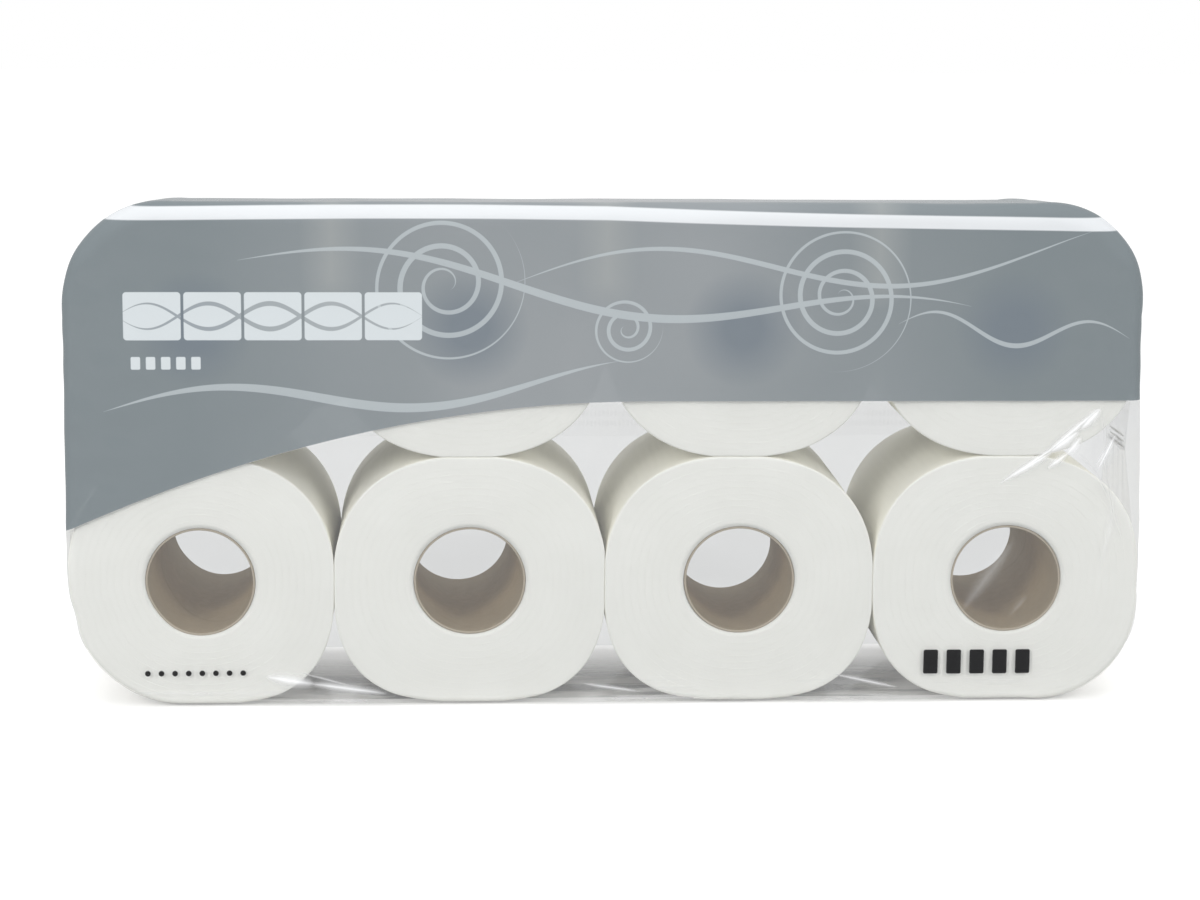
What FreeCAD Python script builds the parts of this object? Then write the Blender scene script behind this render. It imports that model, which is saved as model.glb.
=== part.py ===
import FreeCAD, Part
import math
import os
import Sketcher

# A shop pack of eight toilet rolls, four side by side and two high, in one clear film wrap.
# The roll ends face the front, at -Y. X runs along the pack and Z goes up from the face it rests on.
# The origin is the middle of the bottom. All sizes are millimetres.

doc = FreeCAD.newDocument("toilet_roll_pack")

# Every size that can be set by itself, with what it measures.
SIZES = (
    ("columns", 4, "rolls side by side"),
    ("rows", 2, "rolls one above the other"),
    ("roll_width", 112, "width of a roll squeezed between its neighbours"),
    ("roll_height", 104, "height of a roll squeezed by the wrap"),
    ("roll_length", 98, "width of the paper, along the roll's axis"),
    ("contact_flat", 12, "flat that a neighbour presses into the narrow sides"),
    ("roll_edge_rounding", 3.5, "rounding of the outer turns at both ends"),
    ("core_bore", 44, "inner diameter of the cardboard core"),
    ("core_wall", 1.2, "wall of the cardboard core"),
    ("core_end_recess", 0.4, "how far the core ends inside the paper"),
    ("glue_gap", 0.1, "glue layer between the core and the first turn"),
    ("film_wall", 0.3, "wall that stands for the thin film"),
    ("film_clearance", 0.3, "air between the film and the rolls' sides"),
    ("film_end_slack", 1.2, "air between the film and the rolls' ends"),
    ("fold_wall", 0.25, "thickness of one folded layer on an end"),
    ("fold_tip_width", 34, "width of an end flap at its tip"),
    ("fold_overlap", 14, "height over which the two end flaps overlap"),
    ("weld_height", 6, "height of the weld line across the end flaps"),
    ("seam_height", 16, "height of the lap seam along the back"),
    ("pleats", 3, "slanting pleats beside each end, front and back"),
    ("pleat_start", 26, "height above the middle where the first pleat starts"),
    ("pleat_run", 44, "how far the first pleat runs in from the pack's end"),
    ("pleat_fall", 34, "how far the first pleat drops over its run"),
    ("pleat_step", 11, "distance from one pleat's start to the next"),
    ("pleat_shortening", 0.25, "share of its run that each further pleat loses"),
    ("pleat_width", 4, "width of a pleat where it starts"),
    ("pleat_rise", 0.4, "how far a pleat stands out of the film"),
)

sheet = doc.addObject("Spreadsheet::Sheet", "Sizes")
for cell, (name, value, meaning) in enumerate(SIZES, start=1):
    sheet.set(f"A{cell}", name)
    sheet.set(f"B{cell}", str(value))
    sheet.setAlias(f"B{cell}", name)
    sheet.set(f"C{cell}", meaning)
doc.recompute()

columns = int(sheet.get("columns"))
rows = int(sheet.get("rows"))
pleats = int(sheet.get("pleats"))

# An edge whose box is thinner than this lies flat in a plane.
FLAT = 1e-6

# Rules that follow from the sizes. Each is an expression over the sheet.
ROLL_CORNER = "((min(Sizes.roll_width; Sizes.roll_height) - Sizes.contact_flat) / 2)"
CORE_OUTSIDE = "(Sizes.core_bore + 2 * Sizes.core_wall)"
PAPER_BORE = f"({CORE_OUTSIDE} + 2 * Sizes.glue_gap)"
ROOM_WIDTH = "(Sizes.columns * Sizes.roll_width + 2 * Sizes.film_clearance)"
ROOM_HEIGHT = "(Sizes.rows * Sizes.roll_height + 2 * Sizes.film_clearance)"
ROOM_DEPTH = "(Sizes.roll_length + 2 * Sizes.film_end_slack)"
ROOM_CORNER = f"({ROLL_CORNER} + Sizes.film_clearance)"
ROOM_ROUNDING = "(Sizes.roll_edge_rounding + Sizes.film_clearance + Sizes.film_end_slack)"
WRAP_WIDTH = f"({ROOM_WIDTH} + 2 * Sizes.film_wall)"
WRAP_HEIGHT = f"({ROOM_HEIGHT} + 2 * Sizes.film_wall)"
WRAP_DEPTH = f"({ROOM_DEPTH} + 2 * Sizes.film_wall)"
WRAP_CORNER = f"({ROOM_CORNER} + Sizes.film_wall)"
WRAP_ROUNDING = f"({ROOM_ROUNDING} + Sizes.film_wall)"
FOLD_TOP = f"({WRAP_HEIGHT} / 2 - {WRAP_CORNER})"
FOLD_ROOT_WIDTH = f"({WRAP_DEPTH} - 2 * {WRAP_ROUNDING})"
FRONT_FLAT = f"({WRAP_WIDTH} - 2 * {WRAP_ROUNDING})"


def worked_out(rule):
    """The number that a rule gives with the sheet's present sizes."""
    return float(sheet.evalExpression(rule.replace("Sizes.", "")))


def origin_plane(body, role):
    """One of the body's own origin planes."""
    return next(plane for plane in body.Origin.OriginFeatures if plane.Role == role)


def new_sketch(body, role, name):
    """An empty sketch on one of the body's own origin planes."""
    sketch = body.newObject("Sketcher::SketchObject", name)
    sketch.AttachmentSupport = [(origin_plane(body, role), "")]
    sketch.MapMode = "FlatFace"
    return sketch


def bind(sketch, label, rule, kind, *where):
    """Adds one dimension to a sketch and ties it to a rule over the sheet."""
    index = sketch.addConstraint(Sketcher.Constraint(kind, *where, worked_out(rule)))
    sketch.renameConstraint(index, label)
    sketch.setExpression(f"Constraints.{label}", rule)


def line(start, end):
    return Part.LineSegment(FreeCAD.Vector(*start, 0), FreeCAD.Vector(*end, 0))


def draw_rounded_rectangle(sketch, width_rule, height_rule, corner_rule):
    """A rectangle about the sketch's origin with four equal round corners."""
    half_width = worked_out(width_rule) / 2
    half_height = worked_out(height_rule) / 2
    corner = worked_out(corner_rule)
    inner_x = half_width - corner
    inner_y = half_height - corner
    up = FreeCAD.Vector(0, 0, 1)
    first = sketch.GeometryCount
    sketch.addGeometry(line((-inner_x, -half_height), (inner_x, -half_height)), False)
    sketch.addGeometry(line((half_width, -inner_y), (half_width, inner_y)), False)
    sketch.addGeometry(line((inner_x, half_height), (-inner_x, half_height)), False)
    sketch.addGeometry(line((-half_width, inner_y), (-half_width, -inner_y)), False)
    for quarter, (x, y) in enumerate(((1, -1), (1, 1), (-1, 1), (-1, -1))):
        centre = FreeCAD.Vector(x * inner_x, y * inner_y, 0)
        start = (quarter - 1) * math.pi / 2
        arc = Part.ArcOfCircle(Part.Circle(centre, up, corner), start, start + math.pi / 2)
        sketch.addGeometry(arc, False)
    sides = [first + number for number in range(4)]
    arcs = [first + 4 + number for number in range(4)]
    for number in range(4):
        following = sides[(number + 1) % 4]
        sketch.addConstraint(Sketcher.Constraint("Tangent", sides[number], 2, arcs[number], 1))
        sketch.addConstraint(Sketcher.Constraint("Tangent", arcs[number], 2, following, 1))
    for number in (0, 2):
        sketch.addConstraint(Sketcher.Constraint("Horizontal", sides[number]))
    for number in (1, 3):
        sketch.addConstraint(Sketcher.Constraint("Vertical", sides[number]))
    for number in (1, 2, 3):
        sketch.addConstraint(Sketcher.Constraint("Equal", arcs[0], arcs[number]))
    sketch.addConstraint(Sketcher.Constraint("Symmetric", arcs[0], 3, arcs[2], 3, -1, 1))
    bind(sketch, "width", width_rule, "DistanceX", sides[3], 1, sides[1], 1)
    bind(sketch, "height", height_rule, "DistanceY", sides[0], 1, sides[2], 1)
    bind(sketch, "corner", corner_rule, "Radius", arcs[0])


def draw_circle(sketch, label, diameter_rule):
    """A circle about the sketch's origin."""
    up = FreeCAD.Vector(0, 0, 1)
    circle = Part.Circle(FreeCAD.Vector(0, 0, 0), up, worked_out(diameter_rule) / 2)
    number = sketch.addGeometry(circle, False)
    sketch.addConstraint(Sketcher.Constraint("Coincident", number, 3, -1, 1))
    bind(sketch, label, diameter_rule, "Diameter", number)


def draw_outline(sketch, label, corners):
    """A closed outline of straight sides. Each corner is a pair of rules, across and up."""
    first = sketch.GeometryCount
    count = len(corners)
    places = [(worked_out(across), worked_out(upward)) for across, upward in corners]
    for number in range(count):
        sketch.addGeometry(line(places[number], places[(number + 1) % count]), False)
    for number in range(count):
        following = first + (number + 1) % count
        sketch.addConstraint(Sketcher.Constraint("Coincident", first + number, 2, following, 1))
    for number, rules in enumerate(corners):
        for kind, rule in zip(("DistanceX", "DistanceY"), rules):
            tie = f"{label}_{kind}_{number}"
            if worked_out(rule) < 0:
                bind(sketch, tie, f"-({rule})", kind, first + number, 1, -1, 1)
            else:
                bind(sketch, tie, rule, kind, -1, 1, first + number, 1)


def flap_corners(way):
    """A flap's corners: way is 1 for the flap that comes down from the top, -1 for the other."""
    root = f"{way} * {FOLD_TOP}"
    tip = f"{-way} * Sizes.fold_overlap / 2"
    return (
        (f"-{FOLD_ROOT_WIDTH} / 2", root),
        (f"{FOLD_ROOT_WIDTH} / 2", root),
        ("Sizes.fold_tip_width / 2", tip),
        ("-Sizes.fold_tip_width / 2", tip),
    )


def strip_corners(width_rule, height_rule):
    """The corners of a strip about the middle."""
    return tuple(
        (f"{across} * {width_rule} / 2", f"{upward} * {height_rule} / 2")
        for across, upward in ((-1, -1), (1, -1), (1, 1), (-1, 1))
    )


def pleat_corners(side, number):
    """A pleat: wide at the pack's end, then slanting down and inward to a point."""
    share = f"(1 - {number} * Sizes.pleat_shortening)"
    root_x = f"({FRONT_FLAT} / 2 - {number} * Sizes.pleat_step)"
    root_z = "Sizes.pleat_start"
    return (
        (f"{side} * {root_x}", f"{root_z} + Sizes.pleat_width / 2"),
        (f"{side} * {root_x}", f"{root_z} - Sizes.pleat_width / 2"),
        (f"{side} * ({root_x} - {share} * Sizes.pleat_run)", f"{root_z} - {share} * Sizes.pleat_fall"),
    )


def pad_both_ways(body, sketch, name, length_rule):
    """Thickens a sketch evenly to both sides of its plane."""
    pad = body.newObject("PartDesign::Pad", name)
    pad.Profile = sketch
    pad.SideType = "Symmetric"
    pad.setExpression("Length", length_rule)
    return pad


def round_end_rims(body, pad, name, radius_rule):
    """Rounds the outer rims at both ends of a pad along Y. A round bore keeps its sharp rims."""
    doc.recompute()
    rims = []
    for number, edge in enumerate(pad.Shape.Edges, start=1):
        middle = edge.CenterOfMass
        in_end_plane = edge.BoundBox.YLength < FLAT
        about_axis = math.hypot(middle.x, middle.z) < FLAT
        if in_end_plane and not about_axis:
            rims.append(f"Edge{number}")
    fillet = body.newObject("PartDesign::Fillet", name)
    fillet.Base = (pad, rims)
    fillet.setExpression("Radius", radius_rule)


def put_in_block(body, column, row):
    """Puts a roll or a core into its column and row of the block."""
    across = f"({column} - (Sizes.columns - 1) / 2) * Sizes.roll_width"
    upward = f"Sizes.film_wall + Sizes.film_clearance + ({row} + 0.5) * Sizes.roll_height"
    body.setExpression("Placement.Base.x", across)
    body.setExpression("Placement.Base.z", upward)


def level_name(row):
    """The plain name of a row of rolls."""
    if row == 0:
        return "lower"
    if row == rows - 1:
        return "upper"
    return f"middle_{row}"


# A paper roll is one strip wound on a core and squeezed by its neighbours into a rounded square.
def make_paper_roll(label, column, row):
    body = doc.addObject("PartDesign::Body", label)
    outline = new_sketch(body, "XZ_Plane", f"{label}_outline")
    draw_rounded_rectangle(outline, "Sizes.roll_width", "Sizes.roll_height", ROLL_CORNER)
    draw_circle(outline, "bore", PAPER_BORE)
    winding = pad_both_ways(body, outline, f"{label}_winding", "Sizes.roll_length")
    round_end_rims(body, winding, f"{label}_soft_rims", "Sizes.roll_edge_rounding")
    put_in_block(body, column, row)
    return body


# A core is a cardboard tube that ends just inside the paper. A thin glue layer holds it.
def make_core(label, column, row):
    body = doc.addObject("PartDesign::Body", label)
    ring = new_sketch(body, "XZ_Plane", f"{label}_ring")
    draw_circle(ring, "outside", CORE_OUTSIDE)
    draw_circle(ring, "inside", "Sizes.core_bore")
    pad_both_ways(body, ring, f"{label}_tube", "Sizes.roll_length - 2 * Sizes.core_end_recess")
    put_in_block(body, column, row)
    return body


# The room inside the wrap, which the cut below takes out of it.
def make_room():
    body = doc.addObject("PartDesign::Body", "room_for_rolls")
    outline = new_sketch(body, "XZ_Plane", "room_outline")
    draw_rounded_rectangle(outline, ROOM_WIDTH, ROOM_HEIGHT, ROOM_CORNER)
    block = pad_both_ways(body, outline, "room_block", ROOM_DEPTH)
    round_end_rims(body, block, "room_rims", ROOM_ROUNDING)
    body.setExpression("Placement.Base.z", f"{WRAP_HEIGHT} / 2")
    return body


# The film goes round the block, laps on the back and is folded in at both ends like an envelope.
def make_wrap_outside():
    body = doc.addObject("PartDesign::Body", "wrap_outside")
    outline = new_sketch(body, "XZ_Plane", "wrap_outline")
    draw_rounded_rectangle(outline, WRAP_WIDTH, WRAP_HEIGHT, WRAP_CORNER)
    block = pad_both_ways(body, outline, "wrap_block", WRAP_DEPTH)
    round_end_rims(body, block, "wrap_rims", WRAP_ROUNDING)

    lower = new_sketch(body, "YZ_Plane", "lower_flap_outline")
    draw_outline(lower, "flap", flap_corners(-1))
    pad_both_ways(body, lower, "lower_flaps", f"{WRAP_WIDTH} + 2 * Sizes.fold_wall")
    upper = new_sketch(body, "YZ_Plane", "upper_flap_outline")
    draw_outline(upper, "flap", flap_corners(1))
    pad_both_ways(body, upper, "upper_flaps", f"{WRAP_WIDTH} + 4 * Sizes.fold_wall")
    weld = new_sketch(body, "YZ_Plane", "weld_outline")
    draw_outline(weld, "weld", strip_corners("Sizes.fold_tip_width", "Sizes.weld_height"))
    pad_both_ways(body, weld, "welds", f"{WRAP_WIDTH} + 6 * Sizes.fold_wall")

    seam = new_sketch(body, "XZ_Plane", "seam_outline")
    draw_outline(seam, "seam", strip_corners(FRONT_FLAT, "Sizes.seam_height"))
    lap = body.newObject("PartDesign::Pad", "back_seam")
    lap.Profile = seam
    lap.Reversed = True
    lap.setExpression("Length", f"{WRAP_DEPTH} / 2 + Sizes.fold_wall")

    for side, end in ((-1, "left"), (1, "right")):
        for number in range(pleats):
            name = f"{end}_pleat_{number + 1}"
            fold = new_sketch(body, "XZ_Plane", f"{name}_outline")
            draw_outline(fold, "pleat", pleat_corners(side, number))
            pad_both_ways(body, fold, name, f"{WRAP_DEPTH} + 2 * Sizes.pleat_rise")
    body.setExpression("Placement.Base.z", f"{WRAP_HEIGHT} / 2")
    return body


pieces = []
for row in range(rows):
    for column in range(columns):
        place_name = f"{level_name(row)}_{column + 1}"
        pieces.append(make_paper_roll(f"paper_roll_{place_name}", column, row))
        pieces.append(make_core(f"core_{place_name}", column, row))

wrap = doc.addObject("Part::Cut", "film_wrap")
wrap.Base = make_wrap_outside()
wrap.Tool = make_room()
pieces.append(wrap)
doc.recompute()

for item in doc.Objects:
    if "Invalid" in item.State or "Error" in item.State:
        raise RuntimeError(f"{item.Label} was not made: {item.State}")
for piece in pieces:
    if piece.Shape.isNull() or not piece.Shape.isValid():
        raise RuntimeError(f"{piece.Label} has no sound shape")
os.makedirs("parts", exist_ok=True)
for piece in pieces:
    piece.Shape.exportStep(f"parts/{piece.Label}.step")
    print(piece.Label, len(piece.Shape.Solids), round(piece.Shape.Volume))
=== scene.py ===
import math
from functools import partialmethod

import bpy
import numpy as np
from mathutils import Matrix, Vector


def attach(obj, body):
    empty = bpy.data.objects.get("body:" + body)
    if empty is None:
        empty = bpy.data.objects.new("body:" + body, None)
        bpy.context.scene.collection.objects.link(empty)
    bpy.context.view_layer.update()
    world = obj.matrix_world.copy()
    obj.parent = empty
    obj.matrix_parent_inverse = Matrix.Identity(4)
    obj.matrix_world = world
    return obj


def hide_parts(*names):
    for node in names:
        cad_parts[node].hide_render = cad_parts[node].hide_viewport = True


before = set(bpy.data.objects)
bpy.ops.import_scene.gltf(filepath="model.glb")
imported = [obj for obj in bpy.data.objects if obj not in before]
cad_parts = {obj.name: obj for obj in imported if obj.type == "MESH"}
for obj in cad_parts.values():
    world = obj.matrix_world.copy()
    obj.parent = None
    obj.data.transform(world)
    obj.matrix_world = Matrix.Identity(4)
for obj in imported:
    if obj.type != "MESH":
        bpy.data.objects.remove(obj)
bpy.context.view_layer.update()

# The camera stands a little left of the pack's middle and above it, and looks slightly down.
# Its lens is long, so the roll ends stay nearly true circles.
MM = 0.001
CAMERA_PLACE = Vector((-0.0686, -1.2343, 0.3135))
CAMERA_YAW = math.radians(3.196)
CAMERA_DIP = math.radians(9.839)
CAMERA_ROLL = math.radians(0.411)
CAMERA_LENS = 87.77

forward = Vector((
    math.sin(CAMERA_YAW) * math.cos(CAMERA_DIP),
    math.cos(CAMERA_YAW) * math.cos(CAMERA_DIP),
    -math.sin(CAMERA_DIP),
))
level = Vector((math.cos(CAMERA_YAW), -math.sin(CAMERA_YAW), 0))
upright = level.cross(forward)
across = level * math.cos(CAMERA_ROLL) + upright * math.sin(CAMERA_ROLL)
up = upright * math.cos(CAMERA_ROLL) - level * math.sin(CAMERA_ROLL)
camera_data = bpy.data.cameras.new("camera")
camera_data.lens = CAMERA_LENS
camera_data.sensor_width = 36
camera = bpy.data.objects.new("camera", camera_data)
turned = Matrix((across, up, -forward)).transposed().to_4x4()
camera.matrix_world = Matrix.Translation(CAMERA_PLACE) @ turned
bpy.context.scene.collection.objects.link(camera)
bpy.context.scene.camera = camera
bpy.context.scene.view_settings.view_transform = "Standard"

# The studio is a plain white floor under a white surround, with a long soft box overhead
# and two soft boxes in front. Mirrors don't see the lamps, so the bright stripe on the film's top edge is a
# painted highlight.
FLOOR_DROP = 0.3 * MM
FLOOR_SIZE = 12
FLOOR_COLOUR = (0.8, 0.8, 0.8, 1)
# Seen through the film beside the pack, the floor takes a darker grey as painted shade.
FLOOR_BEHIND_SHADE = (0.36, 0.37, 0.375, 1)
FLOOR_GLOW_INSIDE = 0.36
PACK_FOOT_HALF = 55 * MM
# How the floor's glow changes with distance: from, to, glow at the one and at the other.
OPEN_GLOW = (0.6, 1.8, 0.3, 0.42)
CLOSE_GLOW = (0.06, 0.2, 0.52, 0.36)
BEYOND_GLOW = (0.3, 0.55, 0.0, 0.05)
SURROUND_SEEN = 1.0
SURROUND_LIGHT = 0.77
# A lamp: name, place, what it faces, width, depth, power.
LAMPS = (
    ("top_box", (0.0, -0.06, 1.35), (0, 0, 0.2), 1.5, 0.42, 7.5),
    ("left_box", (-0.95, -1.25, 0.75), (0, 0, 0.1), 0.35, 0.9, 8.4),
    ("right_box", (1.05, -1.1, 0.8), (0, 0, 0.1), 0.35, 0.9, 5.6),
)


def add(tree, kind, sources=(), **settings):
    """A new node in a tree. Sources are outputs to link, or values, in order or by name."""
    node = tree.nodes.new(kind)
    for name, value in settings.items():
        setattr(node, name, value)
    pairs = sources.items() if isinstance(sources, dict) else enumerate(sources)
    for key, source in pairs:
        if isinstance(source, Output):
            source = source.socket
        if isinstance(source, bpy.types.NodeSocket):
            tree.links.new(source, node.inputs[key])
        else:
            node.inputs[key].default_value = source
    return node


def outputs(tree, kind, sources=(), **settings):
    """All the outputs of a new node, ready for arithmetic."""
    return [Output(tree, output) for output in add(tree, kind, sources, **settings).outputs]


def output(tree, kind, sources=(), **settings):
    """The first output of a new node, ready for arithmetic."""
    return outputs(tree, kind, sources, **settings)[0]


class Output:
    """What comes out of a node. Arithmetic on it adds the nodes that work it out."""

    def __init__(self, tree, socket):
        self.tree = tree
        self.socket = socket

    def worked(self, operation, *others):
        return output(self.tree, "ShaderNodeMath", [self, *others], operation=operation)

    def __rsub__(self, other):
        return output(self.tree, "ShaderNodeMath", [other, self], operation="SUBTRACT")

    def clamped(self):
        return output(self.tree, "ShaderNodeClamp", [self])

    def ranged(self, start, end, low=0.0, high=1.0):
        spans = {"Value": self, "From Min": start, "From Max": end, "To Min": low, "To Max": high}
        return output(self.tree, "ShaderNodeMapRange", spans)

    __add__ = partialmethod(worked, "ADD")
    __sub__ = partialmethod(worked, "SUBTRACT")
    __mul__ = partialmethod(worked, "MULTIPLY")
    __truediv__ = partialmethod(worked, "DIVIDE")
    __pow__ = partialmethod(worked, "POWER")
    __lt__ = partialmethod(worked, "LESS_THAN")
    __gt__ = partialmethod(worked, "GREATER_THAN")
    __abs__ = partialmethod(worked, "ABSOLUTE")
    scaled = partialmethod(worked, "MULTIPLY_ADD")
    at_least = partialmethod(worked, "MAXIMUM")
    at_most = partialmethod(worked, "MINIMUM")
    rounded = partialmethod(worked, "ROUND")
    fraction = partialmethod(worked, "FRACT")
    root = partialmethod(worked, "SQRT")
    sine = partialmethod(worked, "SINE")
    cosine = partialmethod(worked, "COSINE")


def new_material(name):
    """An empty material and its node tree."""
    material = bpy.data.materials.new(name)
    material.use_nodes = True
    material.node_tree.nodes.clear()
    return material, material.node_tree


def seen_directly(tree):
    """1 for what the eye sees straight on, in a mirror or through a clear face, and 0 for light."""
    path = add(tree, "ShaderNodeLightPath").outputs
    glance = Output(tree, path["Is Camera Ray"]).at_least(path["Is Glossy Ray"])
    return glance.at_least(path["Is Transmission Ray"])


def blend(share, first, second):
    """Mixes two colours."""
    sources = {0: share, 6: first, 7: second}
    return outputs(share.tree, "ShaderNodeMix", sources, data_type="RGBA", clamp_factor=True)[2]


world = bpy.data.worlds.new("surround")
bpy.context.scene.world = world
world.use_nodes = True
tree = world.node_tree
tree.nodes.clear()
strength = seen_directly(tree).scaled(SURROUND_SEEN - SURROUND_LIGHT, SURROUND_LIGHT)
surround = output(tree, "ShaderNodeBackground", {"Strength": strength, "Color": (1, 1, 1, 1)})
add(tree, "ShaderNodeOutputWorld", [surround])

floor_finish, tree = new_material("white_floor")
floor_place = add(tree, "ShaderNodeTexCoord").outputs["Object"]
floor_y = outputs(tree, "ShaderNodeSeparateXYZ", [floor_place])[1]
away = Output(tree, add(tree, "ShaderNodeVectorMath", [floor_place], operation="LENGTH").outputs["Value"])
under_pack = abs(floor_y) < PACK_FOOT_HALF
beside_pack = 1.0 - under_pack
through_film = Output(tree, add(tree, "ShaderNodeLightPath").outputs["Transparent Depth"]) > 0.5
# Painted shade: the floor seen through the film beside the pack is darker.
tint = blend(through_film * beside_pack, FLOOR_COLOUR, FLOOR_BEHIND_SHADE)
paint = output(tree, "ShaderNodeBsdfDiffuse", {"Color": tint})
open_glow = (1.0 - through_film) * away.ranged(*OPEN_GLOW)
film_glow = (floor_y.ranged(*CLOSE_GLOW) + floor_y.ranged(*BEYOND_GLOW)) * beside_pack
film_glow = through_film * under_pack.scaled(FLOOR_GLOW_INSIDE, film_glow)
glow = output(tree, "ShaderNodeEmission", {"Strength": (open_glow + film_glow) * seen_directly(tree)})
add(tree, "ShaderNodeOutputMaterial", [output(tree, "ShaderNodeAddShader", [paint, glow])])

half = FLOOR_SIZE / 2
floor_mesh = bpy.data.meshes.new("floor")
floor_corners = [(x, y, -FLOOR_DROP) for x, y in ((-half, -half), (half, -half), (half, half), (-half, half))]
floor_mesh.from_pydata(floor_corners, [], [(0, 1, 2, 3)])
floor_mesh.materials.append(floor_finish)
floor = bpy.data.objects.new("floor", floor_mesh)
bpy.context.scene.collection.objects.link(floor)

for name, place, aim, width, depth, power in LAMPS:
    lamp_data = bpy.data.lights.new(name, "AREA")
    lamp_data.shape = "RECTANGLE"
    lamp_data.size = width
    lamp_data.size_y = depth
    lamp_data.energy = power
    lamp = bpy.data.objects.new(name, lamp_data)
    lamp.visible_glossy = False
    facing = (Vector(aim) - Vector(place)).to_track_quat("-Z", "Y")
    lamp.matrix_world = Matrix.Translation(place) @ facing.to_matrix().to_4x4()
    bpy.context.scene.collection.objects.link(lamp)

# The paper rolls are soft tissue wound on a core. The pack squeezes each one flat on four sides,
# so its end is a round-cornered square. The turns show on the ends as a faint spiral.
COLUMN_X = [-168 * MM, -56 * MM, 56 * MM, 168 * MM]
LEVELS = (("lower", 52.6 * MM), ("upper", 156.6 * MM))
# How far the back end of each core lies off its front end, in millimetres to the right and up.
CORE_LEANS = {
    "lower": ((2.6, 4.2), (-4.5, 1.2), (1.7, -3.2), (-1.7, 1.9)),
    "upper": ((0.8, -1.2), (-1.5, 0.6), (1.1, 0.9), (0.4, -0.7)),
}
ROLL_HALF_WIDTH = 56.6 * MM
ROLL_HALF_HEIGHT = 52.6 * MM
PRESSED_HALF_WIDTH = 55.97 * MM
PRESSED_HALF_HEIGHT = 51.97 * MM
ROLL_SQUARENESS = 2.35
FOOT_SQUARENESS = 2.75
ROLL_HALF_LENGTH = 49 * MM
ROLL_RIM = 0.9 * MM
PLAIN_RIM = 5 * MM
TOP_RIM = 8 * MM
RIM_CLEARANCE = 2 * MM
BORE_RADIUS = 23.3 * MM
BORE_SQUASH = 0.975
SHEET_STEP = 0.25 * MM
END_SINK = 0.4 * MM
END_SWELL = 0.3 * MM
END_DENT = 0.1 * MM
FILM_CLEARANCE = 0.55 * MM
FILM_HALF_WIDTH = 224.5 * MM
FILM_HALF_HEIGHT = 104.6 * MM
FILM_CORNER = 46.5 * MM
BACK_SINK = 6.6 * MM
LEFT_DRAW = 2.8 * MM
LEFT_NIP = 1.7 * MM
LEFT_NIP_HEIGHT = 38 * MM
LEFT_NIP_REACH = 9 * MM
RIGHT_DRAW = 2.6 * MM
HIGH_FROM = 60 * MM
HIGH_SPAN = 110 * MM
DRAW_FROM = 112 * MM
DRAW_SPAN = 112 * MM
SINK_FROM_Y = -42 * MM
SINK_SPAN_Y = 92 * MM
SINK_FROM_Z = 118 * MM
SINK_SPAN_Z = 91 * MM
CORNER_PUSH = {(-1, 1): 2.0 * MM, (1, 1): 3.3 * MM, (-1, -1): -1.4 * MM, (1, -1): 2.2 * MM}
AROUND = 180
END_RINGS = 15
RIM_STEPS = 6
SIDE_STEPS = 14
TURN_LINES = 9
TURN_POINTS = 84
TURN_RIDGE = 0.1 * MM
TURN_SINK = 0.02 * MM
TISSUE_PALE = (0.888, 0.892, 0.856, 1)
TISSUE_DEEP = (0.828, 0.832, 0.79, 1)
# The roll sides are paler and creamier than the ends: partly the paper's own tone, partly painted light for
# light soaked through the tissue and bounced between the rolls.
TISSUE_SIDE_GLOW = (0.985, 0.972, 0.885, 1)
SHEET_LENGTH = 0.12
SLITS_PER_METRE = 330.0
WOUND_LINES = 95


def ripples(a, b, seed, wavelength, count=7):
    """Smooth irregularity over two coordinates: a few plain waves in seeded directions."""
    draw = np.random.default_rng(seed)
    total = np.zeros(np.broadcast(a, b).shape)
    for turn, stretch, phase in zip(
        draw.uniform(0, math.pi, count), draw.uniform(0.6, 1.7, count), draw.uniform(0, 2 * math.pi, count)
    ):
        waves = 2 * math.pi / (wavelength * stretch)
        total += np.sin(waves * (a * math.cos(turn) + b * math.sin(turn)) + phase)
    return total / math.sqrt(count)


def ring_faces(rows, columns):
    """Faces of a closed tube's rings, each ring closed and the last one joined to the first."""
    faces = []
    for row in range(rows):
        below = row * columns
        above = (row + 1) % rows * columns
        for column in range(columns):
            nxt = (column + 1) % columns
            faces.append((below + column, above + column, above + nxt, below + nxt))
    return faces


def new_object(name, points, faces, material):
    """A mesh object at the origin, smooth all over."""
    mesh = bpy.data.meshes.new(name)
    mesh.from_pydata([tuple(p) for p in np.asarray(points).reshape(-1, 3)], [], faces)
    mesh.materials.append(material)
    mesh.shade_smooth()
    mesh.update()
    made = bpy.data.objects.new(name, mesh)
    bpy.context.scene.collection.objects.link(made)
    return made


def point_values(mesh, name, values):
    """Stores one number for each point of a mesh."""
    layer = mesh.attributes.new(name, "FLOAT", "POINT")
    layer.data.foreach_set("value", np.asarray(values, np.float32).ravel())


def corner_places(mesh, name, places, faces, columns, span):
    """A UV map from one place for each point. The last column of each ring ends at span."""
    corners = np.array(faces)
    spots = places.reshape(-1, 2)[corners]
    closing = corners[:, 2] % columns == 0
    spots[closing, 2:, 0] = span
    mesh.uv_layers.new(name=name).data.foreach_set("uv", spots.astype(np.float32).ravel())


def eased(value):
    """Runs smoothly from 0 to 1."""
    value = np.clip(value, 0, 1)
    return value * value * (3 - 2 * value)


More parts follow.
